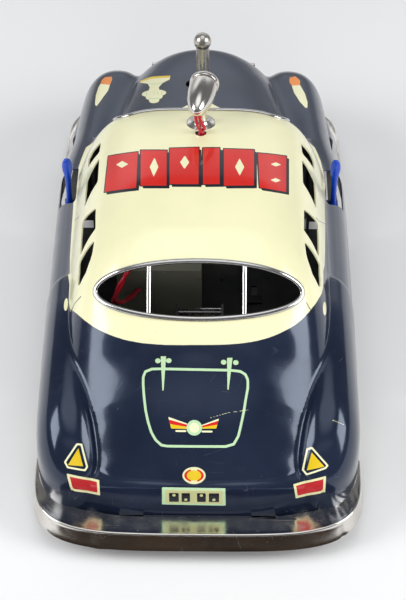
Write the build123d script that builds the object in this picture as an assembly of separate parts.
"""Friction tin saloon car: pressed tin body on a base plate, friction motor on the rear axle,
lever-steered front axle, roof spotlight fed by a dry cell, and two swing-out signal arms.

Millimetres. +Y is the car's front, +X its right-hand side, +Z is up. The origin is on the
ground, under the middle of the car.
"""
from build123d import *
from math import atan2, cos, degrees, hypot, pi, radians, sin, tan
import os

# ---------------------------------------------------------------- driving dimensions
TIN = 0.6                       # thickness of every pressed tin piece
SILL_Z = 10.0                   # lower edge of the body
PLATE_TOP_Z = 11.2              # upper face of the base plate

WHEEL_R = 16.0
WHEEL_WIDTH = 9.0
TRACK_X = 41.5                  # centre of each wheel from the car's centre line
REAR_AXLE_Y = -64.0
FRONT_AXLE_Y = 62.0
AXLE_R = 1.5
ARCH_R = 19.0
RUNNING = 0.05                  # radial clearance of a turning fit
PRESS = 0.02                    # radial overlap of a press fit

BUMPER_END_Y = 83.0
BUMPER_FOOT = (56.2, 118.0, 4.0)    # half width, reach and superellipse power of the lower edge
BUMPER_RIDGE = (55.25, 116.3, 4.0)  # the same for the upper edge
BUMPER_SHELF = (54.3, 109.0, 3.1)   # the same for the inner edge of the shelf
FRONT_SHELF_Y = 111.6               # the front bumper's shelf is narrower
BUMPER_BOTTOM_Z = 5.6
BUMPER_TOP_Z = 12.3
BUMPER_SKIN = 0.8

GEAR_MODULE = 0.6
WHEEL_TEETH = 30
COUNTER_PINION_TEETH = 12
FLY_PINION_TEETH = 10
COUNTER_Y = REAR_AXLE_Y + GEAR_MODULE * (WHEEL_TEETH + COUNTER_PINION_TEETH) / 2
FLY_RISE = 8.0                  # height of the flywheel shaft over the countershaft
FLY_GAP = GEAR_MODULE * (WHEEL_TEETH + FLY_PINION_TEETH) / 2
FLY_Y = COUNTER_Y + (FLY_GAP**2 - FLY_RISE**2) ** 0.5
FLY_Z = WHEEL_R + FLY_RISE
FLYWHEEL_R = 12.0
COUNTER_R = 1.2
FLY_SHAFT_R = 1.0
MOTOR_PLATE_X = 8.0             # middle of each motor side plate
MOTOR_PLATE = 0.8

LEVER_Y = 74.0
LEVER_PIVOT_Z = 34.0
LEVER_R = 2.5
KNOB_R = 3.35
KNOB_Z = 73.8
TONGUE_Z = 21.5                 # mid height of the steering yoke
YOKE_HALF = 24.5
KINGPIN_R = 1.5

LAMP_PIVOT_Y = 14.5
LAMP_Z = 93.2
LAMP_R = 4.95
LAMP_YAW = -9.5                 # the lamp is turned a little to the right
ROOF_AT_LAMP_Z = 81.1
WIRE_HOLE_Y = 8.6
WIRE_R = 0.6
WIRE_EXIT = 6.6                 # the wires leave the lamp's underside this far behind its pivot

ARM_PIVOT = (49.2, 22.0, 34.0)  # right-hand signal arm; the left one is its mirror image
ARM_PIN_R = 0.8

BOX_X = (-29.5, 0.5)            # battery box
BOX_Y = (-23.5, 35.0)
BOX_TOP_Z = 45.0
CELL_R = 13.0
CELL_Y = (-17.5, 32.5)
CELL_Z = 28.0
DOOR_HINGE = (-25.0, 9.4)       # Y and Z of the battery door's hinge pin


# ---------------------------------------------------------------- body surface
def guide(points, y):
    """Smooth curve through (station, value) pairs that never overshoots them."""
    if not isinstance(points, list):
        return float(points)
    if y <= points[0][0]:
        return points[0][1]
    if y >= points[-1][0]:
        return points[-1][1]
    slopes = [(b[1] - a[1]) / (b[0] - a[0]) for a, b in zip(points, points[1:])]
    tangents = [slopes[0]] + [0.0] * (len(points) - 2) + [slopes[-1]]
    for i in range(1, len(points) - 1):
        if slopes[i - 1] * slopes[i] > 0:
            tangents[i] = 2 / (1 / slopes[i - 1] + 1 / slopes[i])
    i = max(k for k in range(len(points) - 1) if points[k][0] <= y)
    (y0, v0), (y1, v1) = points[i], points[i + 1]
    span = y1 - y0
    t = (y - y0) / span
    return (
        (2 * t**3 - 3 * t**2 + 1) * v0
        + (t**3 - 2 * t**2 + t) * span * tangents[i]
        + (3 * t**2 - 2 * t**3) * v1
        + (t**3 - t**2) * span * tangents[i + 1]
    )


def round_off(y, rear, front, runs, power):
    """1 along the middle of a bulge, falling to 0 at both ends like a superellipse."""
    behind = min(max((rear + runs[0] - y) / runs[0], 0), 1)
    ahead = min(max((y - front + runs[1]) / runs[1], 0), 1)
    return ((1 - behind**power) * (1 - ahead**power)) ** (1 / power)


class Bulge:
    """One swelling of the body: superellipse sections over straight walls, along Y."""

    def __init__(self, rear, front, middle, half, base, crest, fullness, lean, plan, height, blend):
        self.rear = rear
        self.front = front
        self.middle = middle        # X of its centre line, on both sides of the car
        self.half = half            # half width
        self.base = base            # height of the widest point
        self.crest = crest          # height of the top
        self.fullness = fullness    # superellipse power of the section
        self.lean = lean            # how far the walls lean in, as a share of the half width
        self.plan = plan            # (rear run, front run, power) of the ends in plan
        self.height = height        # the same for the height
        self.blend = blend          # width of the soft crease where it joins the others

    def section(self, y):
        if not self.rear < y < self.front:
            return None
        half = guide(self.half, y) * round_off(y, self.rear, self.front, self.plan[:2], self.plan[2])
        base = guide(self.base, y)
        rise = round_off(y, self.rear, self.front, self.height[:2], self.height[2])
        height = (guide(self.crest, y) - base) * rise
        lean = guide(self.lean, y)
        return guide(self.middle, y), half, base, height, guide(self.fullness, y), lean, self.blend


BODY_REAR_Y = -107.5
BODY_FRONT_Y = 110.5
LOWER = Bulge(
    BODY_REAR_Y, BODY_FRONT_Y, 0,
    [(-108, 53.2), (-85, 53.9), (-72, 55), (10, 55), (45, 54.6), (65, 53.6), (82, 52), (95, 50.2),
     (111, 46)],
    18, [(-108, 26), (111, 30)], 3.4, 0, (26, 26, 2.9), (5, 10, 6), 1,
)
CABIN = Bulge(
    BODY_REAR_Y, 54, 0,
    [(-107, 34.5), (-103, 36.2), (-97, 39), (-90, 41.8), (-83, 44), (-77, 45), (-70, 45.3), (-58, 45.6),
     (-40, 46.8), (20, 46.8), (54, 41)],
    [(-107, 14), (-90, 19), (-70, 33), (-50, 42), (54, 44)],
    [(-107.3, 19), (-105.5, 25), (-102, 30.5), (-97, 36), (-90, 43), (-80, 51.5), (-72.5, 57),
     (-65, 63.5), (-51, 74.5), (-38, 79.3), (-15, 82), (8, 81.6), (18, 80.7), (25, 78.8), (28, 76.8),
     (40, 66.5), (50, 57.5), (54, 53)],
    [(-107, 2.6), (-95, 2.15), (-80, 2.1), (-65, 2.7), (-50, 3.7), (-30, 4.3)],
    [(-85, 0), (-60, 0.14), (-40, 0.24)], (6, 6, 2.4), (1.5, 2, 6), 3,
)
HOOD = Bulge(
    -10, BODY_FRONT_Y, 0,
    [(-10, 44), (33, 43.5), (52, 42), (70, 39), (85, 35), (98, 30), (111, 26)],
    24, [(-10, 50), (45, 57), (60, 55.5), (75, 53.5), (90, 51.8), (100, 50), (106, 47), (110.5, 40)],
    [(40, 2.5), (111, 2.1)], 0, (5, 16, 2.4), (3, 9, 2.6), 2.5,
)
FRONT_FENDER = Bulge(
    -45, 107, [(-45, 41), (33, 41), (60, 38), (85, 36), (107, 33)], [(33, 13.5), (60, 13)],
    24, [(-45, 44), (0, 46), (30, 46.5), (60, 46), (85, 44.6), (98, 43.4), (107, 40.5)],
    2.3, 0, (10, 18, 2.2), (10, 16, 2.2), 3.5,
)
REAR_FENDER = Bulge(
    -104.8, -22, [(-106, 40.5), (-90, 42.8), (-60, 44.2), (-22, 45)],
    [(-106, 13.5), (-90, 11.8), (-60, 10.8), (-22, 10)],
    22, [(-106, 34), (-95, 38.5), (-80, 43), (-60, 46.5), (-40, 48), (-22, 48)],
    2.3, 0, (26, 8, 2.3), (22, 9, 2.2), 1.4,
)
BULGES = [LOWER, CABIN, HOOD, FRONT_FENDER, REAR_FENDER]


def depth(x, z, sections):
    """Distance outside (+) or inside (-) the softly joined bulges at one station."""
    total = None
    for middle, half, base, height, power, lean, blend in sections:
        side = abs(abs(x) - middle) if middle else abs(x)
        up = max(z - base, 0)
        width = half * (1 - lean * min(up / height, 1))
        size = ((side / width) ** power + (up / height) ** power) ** (1 / power)
        reach = hypot(side, up)
        here = reach - reach / size if size > 1e-6 else -min(half, height)
        if total is None:
            total = here
        else:
            share = min(max(0.5 + 0.5 * (here - total) / blend, 0), 1)
            total = here * (1 - share) + total * share - blend * share * (1 - share)
    return total


def crossing(is_inside, far):
    """Distance at which is_inside turns false, found by halving."""
    near = 0.0
    for _ in range(22):
        middle = (near + far) / 2
        if is_inside(middle):
            near = middle
        else:
            far = middle
    return near


FAN_Z = -40.0                   # centre of the fan of rays that finds each section's outline
FAN_RAYS = 24


def outline(y, inset, floor_z):
    """Right half of the body's section, inset from the outer skin: points from sill to crown."""
    offsets = (-inset, 0, inset) if inset > 0 else (0,)
    stations = [[s for s in (b.section(y + d) for b in BULGES) if s] for d in offsets]

    def inside(x, z):
        return all(depth(x, z, sections) < -inset for sections in stations)

    half = crossing(lambda x: inside(x, floor_z), 70)
    start = atan2(floor_z - FAN_Z, half)
    points = [(half, floor_z)]
    for i in range(1, FAN_RAYS + 1):
        angle = start + (pi / 2 - start) * i / FAN_RAYS
        reach = crossing(lambda r: inside(r * cos(angle), FAN_Z + r * sin(angle)), 150)
        points.append((reach * cos(angle), FAN_Z + reach * sin(angle)))
    points[-1] = (0.0, points[-1][1])
    return points


def section_face(y, inset, floor_z):
    half = outline(y, inset, floor_z)
    points = [Vector(x, y, z) for x, z in half] + [Vector(-x, y, z) for x, z in reversed(half[:-1])]
    return make_face([Spline(*points), Line(points[-1], points[0])])


def body_solid(stations, inset, floor_z):
    return loft([section_face(y, inset, floor_z) for y in stations], ruled=True)


TAIL = [-107.2, -106.8, -106.2, -105.4, -104.3, -102.8, -101, -98.5, -95, -90, -85, -80, -75]
MIDDLE = [-70, -65, -60, -55, -51, -46, -40, -33, -28, -25, -22, -18, -10, 0, 10, 18, 25, 29, 32]
NOSE = [36, 40, 45, 49, 52, 55, 60, 67, 75, 82, 89, 95, 99, 102.5, 105, 107, 108.6, 109.6, 110.1]
STATIONS = TAIL + MIDDLE + NOSE


# ---------------------------------------------------------------- small helpers
def box(x, y, z):
    """Box between three pairs of coordinates."""
    size = Box(x[1] - x[0], y[1] - y[0], z[1] - z[0])
    return Pos((x[0] + x[1]) / 2, (y[0] + y[1]) / 2, (z[0] + z[1]) / 2) * size


def rod(axis, radius, centre, start, end):
    """Round bar along X, Y or Z from start to end; centre holds the two other coordinates."""
    turn = {"X": Rot(0, 90, 0), "Y": Rot(-90, 0, 0), "Z": Rot(0, 0, 0)}[axis]
    middle = (start + end) / 2
    places = {
        "X": (middle, centre[0], centre[1]),
        "Y": (centre[0], middle, centre[1]),
        "Z": (centre[0], centre[1], middle),
    }
    return Pos(*places[axis]) * turn * Cylinder(radius, end - start)


def tube(axis, outer, inner, centre, start, end):
    return rod(axis, outer, centre, start, end) - rod(axis, inner, centre, start - 1, end + 1)


def side_prism(points, x0, x1):
    """Polygon of (Y, Z) points, extruded along X."""
    face = make_face(Polyline(*[(x0, y, z) for y, z in points], close=True))
    return extrude(face, amount=x1 - x0, dir=(1, 0, 0))


def turned(profile, axis):
    """Solid of revolution about axis of a closed polygon."""
    return revolve(make_face(Polyline(*profile, close=True)), axis, 360)


def pair(right):
    """The right-hand piece and its mirror image on the left."""
    return right, mirror(right, about=Plane.YZ)


parts = {}

# ---------------------------------------------------------------- body shell
WINDOWS = [
    [(17.6, 61.8), (17.9, 65), (16.2, 71), (10.2, 71), (12.2, 62)],
    [(6.8, 71.3), (-6.8, 71.6), (-9.6, 62), (5.4, 62)],
    [(-20.5, 71.5), (-30.8, 71), (-33, 60.5), (-15.6, 61)],
    [(-35.2, 70), (-42, 67.5), (-45.8, 64.5), (-47.4, 59.8), (-45.6, 58.8), (-35.2, 59.4)],
]
REAR_GLASS = Plane(origin=(0, -58.35, 68.6), x_dir=(1, 0, 0), z_dir=(0, -12, 15.3))
REAR_GLASS_HALF = (34.2, 9.4)
SCREEN = Plane(origin=(0, 36.6, 69.6), x_dir=(1, 0, 0), z_dir=(0, 18.7, 21))
SCREEN_SIZE = (62, 28.6)
SCREEN_CORNER = 7
LENS_Z = 28.5
LENS_X = 35.0
LENS_R = 5.6
LENS_FRONT_Y = 106.0
SIGNAL_SLOT = [(45.8, 10.5), (45.8, 31.0), (53.0, 38.0), (53.0, 19.5)]  # right-hand one, X and Y


def through(plane, sketch, half_length=12):
    """Sketch on a plane, extruded to both sides of it."""
    return extrude(plane * sketch, amount=half_length, both=True)


rear_opening = through(REAR_GLASS, Ellipse(*REAR_GLASS_HALF))
screen_opening = through(SCREEN, RectangleRounded(*SCREEN_SIZE, SCREEN_CORNER))

outer = body_solid(STATIONS, 0, SILL_Z)
hollow = body_solid([BODY_REAR_Y + 1.2] + STATIONS[2:-2] + [BODY_FRONT_Y - 1.4], TIN, SILL_Z - 1)
shell = outer - hollow
for window in WINDOWS:
    shell -= side_prism(window, -60, 60)
shell -= rear_opening
shell -= screen_opening
for side in (-1, 1):
    slot_face = make_face(Polyline(*[(side * x, y, 34) for x, y in SIGNAL_SLOT], close=True))
    shell -= extrude(slot_face, amount=26, dir=(0, 0, 1))
    arch_x = sorted((side * 45.5, side * 60))
    for axle_y in (REAR_AXLE_Y, FRONT_AXLE_Y):
        shell -= rod("X", ARCH_R, (axle_y, WHEEL_R - 2), *arch_x)
    shell -= rod("Y", LENS_R + 0.9, (side * LENS_X, LENS_Z), 98, 115)
LEVER_SWING = 9.7               # degrees each way
hood_slot_x = (52.5 - LEVER_PIVOT_Z) * tan(radians(LEVER_SWING)) + LEVER_R + 0.7
shell -= box((-hood_slot_x, hood_slot_x), (LEVER_Y - 3.1, LEVER_Y + 3.1), (45, 60))
shell -= rod("Z", 2.0, (0, WIRE_HOLE_Y), 74, 90)
shell -= rod("Z", 1.5, (0, LAMP_PIVOT_Y), 74, 90)
parts["body_shell"] = shell

# ---------------------------------------------------------------- window frames and grille
FRAME_BAND = 1.5


def trim(stations, plane, ring):
    """Bright strip that stands proud of the skin where ring crosses it."""
    proud = body_solid(stations, -0.7, 40) - body_solid(stations, 0, 39)
    return proud & through(plane, ring)


rear_ring = Ellipse(REAR_GLASS_HALF[0] + FRAME_BAND, REAR_GLASS_HALF[1] + FRAME_BAND)
rear_ring -= Ellipse(*REAR_GLASS_HALF)
rear_stations = [-72, -69, -66, -63, -60, -57, -54, -51, -48, -45]
rear_frame = trim(rear_stations, REAR_GLASS, rear_ring)
bar_strip = Pos(-15.8, 0) * Rectangle(1.4, 19.6) + Pos(15.8, 0) * Rectangle(1.4, 19.6)
bars = trim(rear_stations, REAR_GLASS, bar_strip)
parts["rear_window_frame"] = rear_frame + bars

screen_ring = RectangleRounded(SCREEN_SIZE[0] + 2.6, SCREEN_SIZE[1] + 2.6, SCREEN_CORNER + 1.3)
screen_ring -= RectangleRounded(*SCREEN_SIZE, SCREEN_CORNER)
screen_stations = [14, 17, 20, 22.5, 25, 28, 32, 36, 40, 45, 49, 52, 53.5]
centre_bar = Rectangle(1.6, SCREEN_SIZE[1] + 0.6)
screen_frame = trim(screen_stations, SCREEN, screen_ring) + trim(screen_stations, SCREEN, centre_bar)
parts["windscreen_frame"] = screen_frame

GRILLE_Z = (18.0, 36.0)
grille = box((-21, 21), (110.2, 111.6), GRILLE_Z)
for level in range(5):
    bar_z = GRILLE_Z[0] + 2.2 + 3.2 * level
    grille -= box((-18.5, 18.5), (110.9, 112), (bar_z, bar_z + 1.6))
parts["front_grille"] = grille

for name, side in (("left", -1), ("right", 1)):
    centre = (side * LENS_X, LENS_Z)
    parts["headlamp_bezel_" + name] = tube("Y", LENS_R + 1.4, LENS_R - 0.3, centre, 99, LENS_FRONT_Y)
    glass_y = LENS_FRONT_Y - 1.2
    glass = rod("Y", LENS_R - 0.3 - RUNNING, centre, glass_y - 2, glass_y)
    dome = Pos(centre[0], glass_y - 11.6, centre[1]) * Sphere(13.2)
    beyond = rod("Y", LENS_R - 0.3 - RUNNING, centre, glass_y, glass_y + 5)
    parts["headlamp_lens_" + name] = glass + (beyond & dome)


# ---------------------------------------------------------------- bumpers
def bumper_face(half_width, reach_y, power, z, end_y=BUMPER_END_Y):
    """Area inside a bumper's plan curve: straight at its open end, a superellipse round the tail."""
    run = reach_y - end_y
    points = []
    for i in range(33):
        t = pi * i / 32
        x = abs(cos(t)) ** (2 / power) * half_width
        points.append(Vector(x if t < pi / 2 else -x, -end_y - run * abs(sin(t)) ** (2 / power), z))
    return make_face([Spline(*points), Line(points[-1], points[0])])


def slab(face, z0, z1):
    return Pos(0, 0, z0) * extrude(face, amount=z1 - z0, dir=(0, 0, 1))


def bumper(shelf_y):
    """Strip whose face leans out towards its lower edge, with a flat shelf turned in at the top."""
    rise = BUMPER_TOP_Z - BUMPER_BOTTOM_Z
    skin = BUMPER_SKIN
    solid_block = loft(
        [bumper_face(*BUMPER_FOOT, BUMPER_BOTTOM_Z), bumper_face(*BUMPER_RIDGE, BUMPER_TOP_Z)], ruled=True
    )
    space = []
    for level in (-0.2, 1 - skin / rise):
        half_width = BUMPER_FOOT[0] + (BUMPER_RIDGE[0] - BUMPER_FOOT[0]) * level - skin
        reach_y = BUMPER_FOOT[1] + (BUMPER_RIDGE[1] - BUMPER_FOOT[1]) * level - skin
        z = BUMPER_BOTTOM_Z + rise * level
        space.append(bumper_face(half_width, reach_y, BUMPER_FOOT[2], z, BUMPER_END_Y - 1))
    shelf_hole = bumper_face(BUMPER_SHELF[0], shelf_y, BUMPER_SHELF[2], 0, BUMPER_END_Y - 1)
    return solid_block - loft(space, ruled=True) - slab(shelf_hole, BUMPER_TOP_Z - 2, BUMPER_TOP_Z + 1)


def bumper_tabs(shelf_y, body_y):
    """Step in the middle of the shelf's inner edge and two tabs that reach into the body."""
    tab_z = (BUMPER_TOP_Z - BUMPER_SKIN, BUMPER_TOP_Z)
    tabs = box((-30, 33), (-shelf_y - 0.8, -shelf_y + 1.1), tab_z)
    for side in (-1, 1):
        tabs += box((side * 22 - 4, side * 22 + 4), (-shelf_y - 0.8, -body_y), tab_z)
    return tabs


rear_bumper = bumper(BUMPER_SHELF[1]) + bumper_tabs(BUMPER_SHELF[1], 106.1)
front_bumper = mirror(bumper(FRONT_SHELF_Y) + bumper_tabs(FRONT_SHELF_Y, 108.6), about=Plane.XZ)
parts["rear_bumper"] = rear_bumper
parts["front_bumper"] = front_bumper

# ---------------------------------------------------------------- base plate
plate_stations = [-106.2, -105.2, -103.5, -101, -97, -92, -84, -70, -40, 0, 30, 60, 80, 92, 99, 104, 107]
plate_edge = [(outline(y, TIN + 0.15, SILL_Z + 0.6)[0][0], y) for y in plate_stations]
plate_points = plate_edge + [(-x, y) for x, y in reversed(plate_edge)]
PLATE_Z = (PLATE_TOP_Z - TIN, PLATE_TOP_Z)
plate = slab(make_face(Polyline(*plate_points, close=True)), *PLATE_Z)
DOOR_OPENING = ((-27.0, -2.0), (-20.0, 32.0))
TALL = (5, 15)
plate -= box(*DOOR_OPENING, TALL)
plate -= box((-6, 6), (REAR_AXLE_Y - 11.5, COUNTER_Y + 11.0), TALL)
for side in (-1, 1):
    wheel_x = sorted((side * 35, side * 60))
    plate -= box(wheel_x, (REAR_AXLE_Y - 18.5, REAR_AXLE_Y + 18.5), TALL)
    wheel_x = sorted((side * 31, side * 49.8))
    plate -= box(wheel_x, (FRONT_AXLE_Y - 24.5, FRONT_AXLE_Y + 24.5), TALL)
SWITCH_X = 20.0
plate -= box((SWITCH_X - 1.1, SWITCH_X + 1.1), (-5, 5), TALL)
parts["base_plate"] = plate
tabs = Part()
for side in (-1, 1):
    for tab_y in (-30, 20):
        tab_x = sorted((side * 47, side * 54.1))
        tabs += box(tab_x, (tab_y - 3, tab_y + 3), (SILL_Z - TIN, SILL_Z - 0.01))
parts["base_tabs"] = tabs


# ---------------------------------------------------------------- gears and motor
def gear(teeth, centre, x0, x1, phase, bore):
    """Spur gear about an X axis, with a tooth centred on the phase angle in the Y-Z plane."""
    pitch_r = GEAR_MODULE * teeth / 2
    root_r = pitch_r - 1.15 * GEAR_MODULE
    tip_r = pitch_r + 0.8 * GEAR_MODULE
    tooth_root = 0.30 * 2 * pi / teeth
    tooth_pitch = 0.205 * 2 * pi / teeth
    tooth_tip = 0.09 * 2 * pi / teeth
    corners = [(root_r, -tooth_root), (pitch_r, -tooth_pitch), (tip_r, -tooth_tip)]
    corners += [(r, -a) for r, a in reversed(corners)]
    points = []
    for i in range(teeth):
        middle = radians(phase) + 2 * pi * i / teeth
        for r, a in corners:
            points.append((centre[0] + r * cos(middle + a), centre[1] + r * sin(middle + a)))
    return side_prism(points, x0, x1) - rod("X", bore, centre, x0 - 1, x1 + 1)


REAR = (REAR_AXLE_Y, WHEEL_R)
COUNTER = (COUNTER_Y, WHEEL_R)
FLY = (FLY_Y, FLY_Z)
fly_angle = degrees(atan2(FLY_Z - WHEEL_R, FLY_Y - COUNTER_Y))
HALF_TOOTH = {n: 180 / n for n in (WHEEL_TEETH, COUNTER_PINION_TEETH, FLY_PINION_TEETH)}

parts["rear_axle"] = rod("X", AXLE_R, REAR, -47.6, 47.6)
parts["axle_gear"] = gear(WHEEL_TEETH, REAR, -4.2, -2.2, 0, AXLE_R - PRESS)
parts["countershaft"] = rod("X", COUNTER_R, COUNTER, -9.0, 9.0)
pinion_phase = 180 + HALF_TOOTH[COUNTER_PINION_TEETH]
parts["counter_pinion"] = gear(
    COUNTER_PINION_TEETH, COUNTER, -4.7, -1.7, pinion_phase, COUNTER_R - PRESS
)
parts["counter_gear"] = gear(WHEEL_TEETH, COUNTER, 2.2, 4.2, fly_angle, COUNTER_R - PRESS)
parts["flywheel_shaft"] = rod("X", FLY_SHAFT_R, FLY, -15.9, 15.9)
fly_phase = fly_angle + 180 + HALF_TOOTH[FLY_PINION_TEETH]
parts["flywheel_pinion"] = gear(FLY_PINION_TEETH, FLY, 1.7, 4.7, fly_phase, FLY_SHAFT_R - PRESS)

SPACERS = [(-73.0, 32.0), (-32.0, 33.0), (-33.0, 15.0)]
SPACER_R = 1.6
side_outline = [(-78, PLATE_TOP_Z), (-78, 27), (-73, 37), (-32, 37), (-27, 30), (-27, PLATE_TOP_Z)]
for name, side in (("left", -1), ("right", 1)):
    x0 = side * MOTOR_PLATE_X - MOTOR_PLATE / 2
    x1 = side * MOTOR_PLATE_X + MOTOR_PLATE / 2
    side_plate = side_prism(side_outline, x0, x1)
    for centre, radius in ((REAR, AXLE_R), (COUNTER, COUNTER_R), (FLY, FLY_SHAFT_R)):
        side_plate -= rod("X", radius + RUNNING, centre, x0 - 1, x1 + 1)
    parts["motor_side_" + name] = side_plate
    inner = MOTOR_PLATE_X + MOTOR_PLATE / 2 + 1.3
    disc_x = sorted((side * inner, side * (inner + 5.6)))
    disc = tube("X", FLYWHEEL_R, FLY_SHAFT_R - PRESS, FLY, *disc_x)
    recess_x = sorted((side * (inner + 3.6), side * (inner + 6)))
    parts["flywheel_" + name] = disc - tube("X", FLYWHEEL_R - 2.5, 3.2, FLY, *recess_x)
spacer_x = MOTOR_PLATE_X - MOTOR_PLATE / 2
spacers = Part()
for centre in SPACERS:
    spacers += rod("X", SPACER_R, centre, -spacer_x, spacer_x)
parts["motor_spacers"] = spacers


# ---------------------------------------------------------------- wheels
def wheel(side, axle_y):
    """Dished tin disc and its rubber tyre."""
    centre = (axle_y, WHEEL_R)
    inner_x = side * (TRACK_X - WHEEL_WIDTH / 2)
    outer_x = side * (TRACK_X + WHEEL_WIDTH / 2)

    def ring(outside, inside, a, b):
        return tube("X", outside, inside, centre, *sorted((side * a, side * b)))

    rim_r = 10.6
    disc = ring(rim_r, AXLE_R - PRESS, TRACK_X - 3.4, TRACK_X + 3.4)
    disc -= ring(rim_r - 1.0, 5.6, TRACK_X + 0.8, TRACK_X + 4)
    disc -= ring(rim_r - 1.0, 3.0, TRACK_X - 4, TRACK_X - 1.0)
    disc += ring(4.4, AXLE_R - PRESS, TRACK_X + 3.4, TRACK_X + 4.6)
    tyre = tube("X", WHEEL_R, rim_r, centre, *sorted((inner_x, outer_x)))
    rim_edges = tyre.edges().filter_by(GeomType.CIRCLE)
    tread_edges = [e for e in rim_edges if e.radius > WHEEL_R - 0.1]
    return disc, fillet(tread_edges, 2.4)


for end, axle_y in (("rear", REAR_AXLE_Y), ("front", FRONT_AXLE_Y)):
    for name, side in (("left", -1), ("right", 1)):
        disc, tyre = wheel(side, axle_y)
        parts[end + "_wheel_" + name] = disc
        parts[end + "_tyre_" + name] = tyre

# ---------------------------------------------------------------- steering
parts["front_axle"] = rod("X", AXLE_R, (FRONT_AXLE_Y, WHEEL_R), -47.6, 47.6)
yoke_z = (TONGUE_Z - 0.5, TONGUE_Z + 0.5)
yoke = box((-YOKE_HALF, YOKE_HALF), (FRONT_AXLE_Y - 5, FRONT_AXLE_Y + 5), yoke_z)
yoke += box((-3.4, 3.4), (FRONT_AXLE_Y, LEVER_Y + 4.2), yoke_z)
for side in (-1, 1):
    ear_x = sorted((side * YOKE_HALF, side * (YOKE_HALF - 1)))
    yoke += box(ear_x, (FRONT_AXLE_Y - 5, FRONT_AXLE_Y + 5), (12.6, TONGUE_Z))
yoke -= rod("X", AXLE_R + RUNNING, (FRONT_AXLE_Y, WHEEL_R), -30, 30)
yoke -= rod("Z", KINGPIN_R + RUNNING, (0, FRONT_AXLE_Y), 18, 25)
TIP_R = 1.7                     # lower end of the lever, in the yoke's slot
slot_half = TIP_R + 0.25
yoke -= box((-slot_half, slot_half), (LEVER_Y - 2.4, LEVER_Y + 2.4), (20, 23))
parts["steering_yoke"] = yoke

BRIDGE_Z = (26.0, 27.0)
EAR_Y = (LEVER_Y - 4.0, LEVER_Y + 3.0)
bracket = box((-8, 8), (46.5, EAR_Y[0] + 1), BRIDGE_Z)
bracket += box((-8, 8), (46.5, 47.5), (PLATE_TOP_Z, BRIDGE_Z[1]))
for ear_y in EAR_Y:
    bracket += box((-8, 8), (ear_y, ear_y + 1), (PLATE_TOP_Z, LEVER_PIVOT_Z + 4))
bracket += box((-8, 8), (EAR_Y[0], EAR_Y[1] + 1), (PLATE_TOP_Z, PLATE_TOP_Z + 1))
bracket -= box((-6.2, 6.2), (EAR_Y[0] - 1, EAR_Y[1] + 2), (18.6, 24.6))
pin_z = LEVER_PIVOT_Z
bracket -= rod("Y", 1.0 - PRESS, (0, pin_z), EAR_Y[0] - 1, EAR_Y[1] + 2)
bracket -= rod("Z", KINGPIN_R - PRESS, (0, FRONT_AXLE_Y), 25, 28)
parts["steering_bracket"] = bracket
kingpin = rod("Z", KINGPIN_R, (0, FRONT_AXLE_Y), 20.0, BRIDGE_Z[1])
kingpin += rod("Z", 2.6, (0, FRONT_AXLE_Y), BRIDGE_Z[1], BRIDGE_Z[1] + 0.8)
kingpin += rod("Z", 2.6, (0, FRONT_AXLE_Y), 19.4, 20.2)
parts["kingpin"] = kingpin
parts["lever_pin"] = rod("Y", 1.0, (0, pin_z), EAR_Y[0] - 0.6, EAR_Y[1] + 1.6)

lever = rod("Z", LEVER_R, (0, LEVER_Y), LEVER_PIVOT_Z - 4, KNOB_Z - 2.2)
lever += rod("Z", TIP_R, (0, LEVER_Y), 20.3, LEVER_PIVOT_Z - 3.9)
lever -= rod("Y", 1.0 + RUNNING, (0, pin_z), LEVER_Y - 4, LEVER_Y + 4)
knob = Pos(0, LEVER_Y, KNOB_Z) * Sphere(KNOB_R)
parts["steering_lever"] = lever
parts["lever_knob"] = knob - rod("Z", LEVER_R, (0, LEVER_Y), KNOB_Z - KNOB_R - 1, KNOB_Z - 2.2)

# ---------------------------------------------------------------- roof spotlight
lamp_axis = Axis((0, LAMP_PIVOT_Y, LAMP_Z), (0, 1, 0))
pivot_axis = Axis((0, LAMP_PIVOT_Y, 0), (0, 0, 1))


def along_lamp(points):
    """(distance ahead of the pivot, radius) pairs as a profile in the lamp's upright plane."""
    return [(0, LAMP_PIVOT_Y + ahead, LAMP_Z + radius) for ahead, radius in points]


def swivelled(shape):
    return shape.rotate(pivot_axis, LAMP_YAW)


flange_z = ROOF_AT_LAMP_Z
foot_profile = [(0, flange_z - 0.3), (5.3, flange_z - 0.3), (5.2, flange_z + 0.4), (3.6, flange_z + 1.1),
                (2.4, flange_z + 2.2), (2.0, flange_z + 3.9), (1.2, flange_z + 3.9),
                (1.2, LAMP_Z - 3.75), (1.9, LAMP_Z - 3.75), (1.9, LAMP_Z - 3.2), (0, LAMP_Z - 3.2)]
parts["spotlight_foot"] = turned([(x, LAMP_PIVOT_Y, z) for x, z in foot_profile], pivot_axis)

TAIL_AHEAD = -10.2
DOME_AHEAD = 3.8                # where the long rounded tail meets the straight barrel
LENS_AHEAD = 8.3


def dome(run, radius, angles):
    """Quarter ellipse of the lamp's tail."""
    return [(DOME_AHEAD - run * cos(radians(a)), radius * sin(radians(a))) for a in angles]


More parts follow.
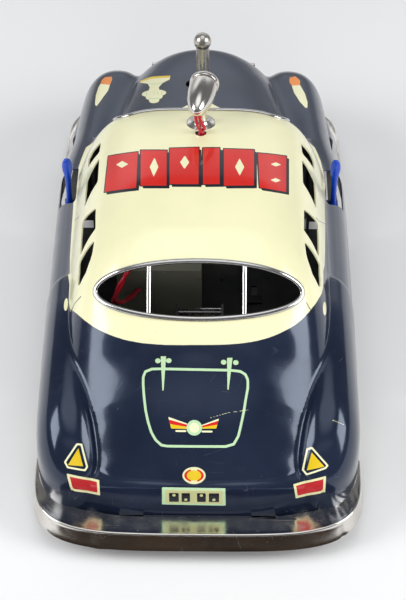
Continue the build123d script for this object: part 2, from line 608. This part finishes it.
tail_run = DOME_AHEAD - TAIL_AHEAD
outside = dome(tail_run, LAMP_R, range(0, 91, 10)) + [(LENS_AHEAD - 2.2, LAMP_R)]
inside = [(LENS_AHEAD - 2.2, LAMP_R - 0.5)] + dome(tail_run - 0.6, LAMP_R - 0.5, range(90, -1, -10))
lamp_shell = turned(along_lamp(outside + inside), lamp_axis)
lamp_shell -= rod("Z", 1.2 + RUNNING, (0, LAMP_PIVOT_Y), LAMP_Z - 6, LAMP_Z - 3.9)
lamp_shell -= rod("Z", 1.8, (0, LAMP_PIVOT_Y - WIRE_EXIT), LAMP_Z - 8, LAMP_Z - 2)
parts["spotlight_shell"] = swivelled(lamp_shell)
bezel = [(LENS_AHEAD - 2.2, LAMP_R - 0.9), (LENS_AHEAD - 2.2, LAMP_R + 0.15),
         (LENS_AHEAD - 0.4, LAMP_R + 0.3), (LENS_AHEAD, LAMP_R), (LENS_AHEAD, LAMP_R - 0.9)]
parts["spotlight_bezel"] = swivelled(turned(along_lamp(bezel), lamp_axis))
lens = [(LENS_AHEAD - 1.2, 0), (LENS_AHEAD - 1.2, LAMP_R - 0.95), (LENS_AHEAD - 0.4, LAMP_R - 0.95),
        (LENS_AHEAD + 0.1, 2.6), (LENS_AHEAD + 0.3, 0)]
parts["spotlight_lens"] = swivelled(turned(along_lamp(lens), lamp_axis))
mirror_bowl = [(LENS_AHEAD - 2.3, LAMP_R - 0.6), (LENS_AHEAD - 4.2, 3.65), (LENS_AHEAD - 6, 2.2),
               (LENS_AHEAD - 6, 1.7), (LENS_AHEAD - 4.0, 3.05), (LENS_AHEAD - 2.3, 3.85)]
parts["spotlight_reflector"] = swivelled(turned(along_lamp(mirror_bowl), lamp_axis))
bulb = [(0.2, 0), (0.2, 1.6), (3.8, 1.6), (4.8, 1.3), (5.5, 0)]
parts["spotlight_bulb"] = swivelled(turned(along_lamp(bulb), lamp_axis))


# ---------------------------------------------------------------- lamp wires
def wire(route):
    """Round wire along straight runs joined by tangent arcs that take up four tenths of a run."""
    points = [Vector(*p) for p in route]
    radii = []
    for before, here, after in zip(points, points[1:], points[2:]):
        first = here - before
        second = after - here
        half_turn = radians(first.get_angle(second)) / 2
        radii.append(0.4 * min(first.length, second.length) / tan(half_turn))
    path = FilletPolyline(*points, radius=radii)
    start = Plane(origin=path @ 0, z_dir=path % 0)
    return sweep(start * Circle(WIRE_R), path=path, is_frenet=True)


exit_x = WIRE_EXIT * sin(radians(LAMP_YAW))
exit_y = LAMP_PIVOT_Y - WIRE_EXIT * cos(radians(LAMP_YAW))
BOX_END_Y = BOX_Y[0] - 0.05
wires = Part()
for shift in (-0.74, 0.74):
    route = [
        (exit_x + shift, exit_y, LAMP_Z - 3.0),
        (exit_x + 0.9 + 1.4 * shift, exit_y - 0.2, LAMP_Z - 6.4),
        (0.2 + shift, WIRE_HOLE_Y, ROOF_AT_LAMP_Z),
        (-3.6 + shift, 5.0, 75.6),
        (-10 + shift, -8, 70.8),
        (-18 + shift, -23, 65.2),
        (-25.6 + shift, -35.4, 54.8),
        (-29.6 + shift, -37.6, 45.6),
        (-26.0 + shift, -32.0, 38.4),
        (-22.0 + shift, BOX_END_Y, 36.0),
    ]
    wires += wire(route)
parts["lamp_wires"] = wires

# ---------------------------------------------------------------- battery box and cell
battery_box = box(BOX_X, BOX_Y, (PLATE_TOP_Z, BOX_TOP_Z))
inner_x = (BOX_X[0] + TIN, BOX_X[1] - TIN)
inner_y = (BOX_Y[0] + TIN, BOX_Y[1] - TIN)
battery_box -= box(inner_x, inner_y, (PLATE_TOP_Z - 1, BOX_TOP_Z - TIN))
parts["battery_box"] = battery_box
cell_x = (BOX_X[0] + BOX_X[1]) / 2
cell = rod("Y", CELL_R, (cell_x, CELL_Z), CELL_Y[0] + 1.4, CELL_Y[1] - 1.4)
cell += rod("Y", 3.0, (cell_x, CELL_Z), CELL_Y[1] - 1.4, CELL_Y[1])
cell += rod("Y", 8.0, (cell_x, CELL_Z), CELL_Y[0] + 1.0, CELL_Y[0] + 1.4)
parts["battery_cell"] = cell
spring_y = (inner_y[0], CELL_Y[0] + 1.0)
coil = Pos(cell_x, spring_y[0] + 0.45, CELL_Z) * Rot(-90, 0, 0) * Helix(1.5, 5.0, 5.0)
coil_start = Plane(origin=coil @ 0, z_dir=coil % 0)
spring = sweep(coil_start * Circle(0.4), path=coil)
parts["battery_spring"] = spring
contact = box((cell_x - 5, cell_x + 5), (CELL_Y[1], CELL_Y[1] + 0.5), (CELL_Z - 8, CELL_Z + 8))
contact += box((cell_x - 5, cell_x + 5), (CELL_Y[1], inner_y[1]), (CELL_Z + 7.5, CELL_Z + 8))
contact += box((cell_x - 5, cell_x + 5), (inner_y[1] - 0.5, inner_y[1]), (CELL_Z + 2, CELL_Z + 8))
parts["battery_contact"] = contact

door_z = (PLATE_Z[0] - TIN, PLATE_Z[0] - 0.05)
door = box((-28.5, -0.5), (DOOR_HINGE[0] + 1.6, 34.0), door_z)
door += box((-16.5, -12.5), (30.5, 34.0), (door_z[0] - 1.2, door_z[1]))
for knuckle_x in (-27.0, -6.0):
    knuckle = (knuckle_x, knuckle_x + 5)
    door += rod("X", 1.1, DOOR_HINGE, *knuckle)
    door += box(knuckle, (DOOR_HINGE[0], DOOR_HINGE[0] + 1.8), (door_z[0], door_z[1]))
door -= rod("X", 0.5 + RUNNING, DOOR_HINGE, -30, 5)
parts["battery_door"] = door
hinge = rod("X", 0.5, DOOR_HINGE, -28.0, 1.0)
for lug_x in (-21.6, -8.0):
    lug = (lug_x, lug_x + 1.6)
    hinge += rod("X", 1.1, DOOR_HINGE, *lug)
    hinge += box(lug, (DOOR_HINGE[0] - 1.1, DOOR_HINGE[0] + 1.1), (DOOR_HINGE[1], PLATE_Z[0]))
parts["battery_door_pin"] = hinge

switch = box((SWITCH_X - 1, SWITCH_X + 1), (-4.9, -0.9), (PLATE_Z[0] - 2.0, PLATE_TOP_Z + 0.6))
switch += box((SWITCH_X - 3, SWITCH_X + 3), (-4.9, -0.9), (PLATE_TOP_Z + 0.1, PLATE_TOP_Z + 0.8))
switch += box((SWITCH_X - 2.5, SWITCH_X + 2.5), (-4.9, -0.9), (PLATE_Z[0] - 2.2, PLATE_Z[0] - 0.1))
parts["light_switch"] = switch

# ---------------------------------------------------------------- signal arms
arm_x, arm_y, arm_z = ARM_PIVOT
arm = rod("Y", 2.2, (arm_x, arm_z), arm_y - 1.2, arm_y + 1.2)
arm += rod("Z", 0.95, (arm_x, arm_y), arm_z + 1.2, arm_z + 18)
paddle = scale(Sphere(1), by=(1.9, 1.5, 4.3))
arm += Pos(arm_x, arm_y, arm_z + 20.2) * paddle
arm -= rod("Y", ARM_PIN_R + RUNNING, (arm_x, arm_z), arm_y - 3, arm_y + 3)
parts["signal_arm_right"], parts["signal_arm_left"] = pair(arm)
pin = rod("Y", ARM_PIN_R, (arm_x, arm_z), arm_y - 3.4, arm_y + 3.4)
parts["signal_pin_right"], parts["signal_pin_left"] = pair(pin)
arm_bracket = box((39.6, 40.4), (arm_y - 2.8, arm_y + 2.8), (PLATE_TOP_Z, arm_z + 3))
for ear_y in (arm_y - 2.8, arm_y + 2.0):
    arm_bracket += box((39.6, arm_x + 1.8), (ear_y, ear_y + 0.8), (arm_z - 3, arm_z + 3))
arm_bracket -= rod("Y", ARM_PIN_R - PRESS, (arm_x, arm_z), arm_y - 4, arm_y + 4)
parts["signal_bracket_right"], parts["signal_bracket_left"] = pair(arm_bracket)

# ---------------------------------------------------------------- files
os.makedirs("parts", exist_ok=True)
for node, shape in parts.items():
    export_step(shape, "parts/" + node + ".step")
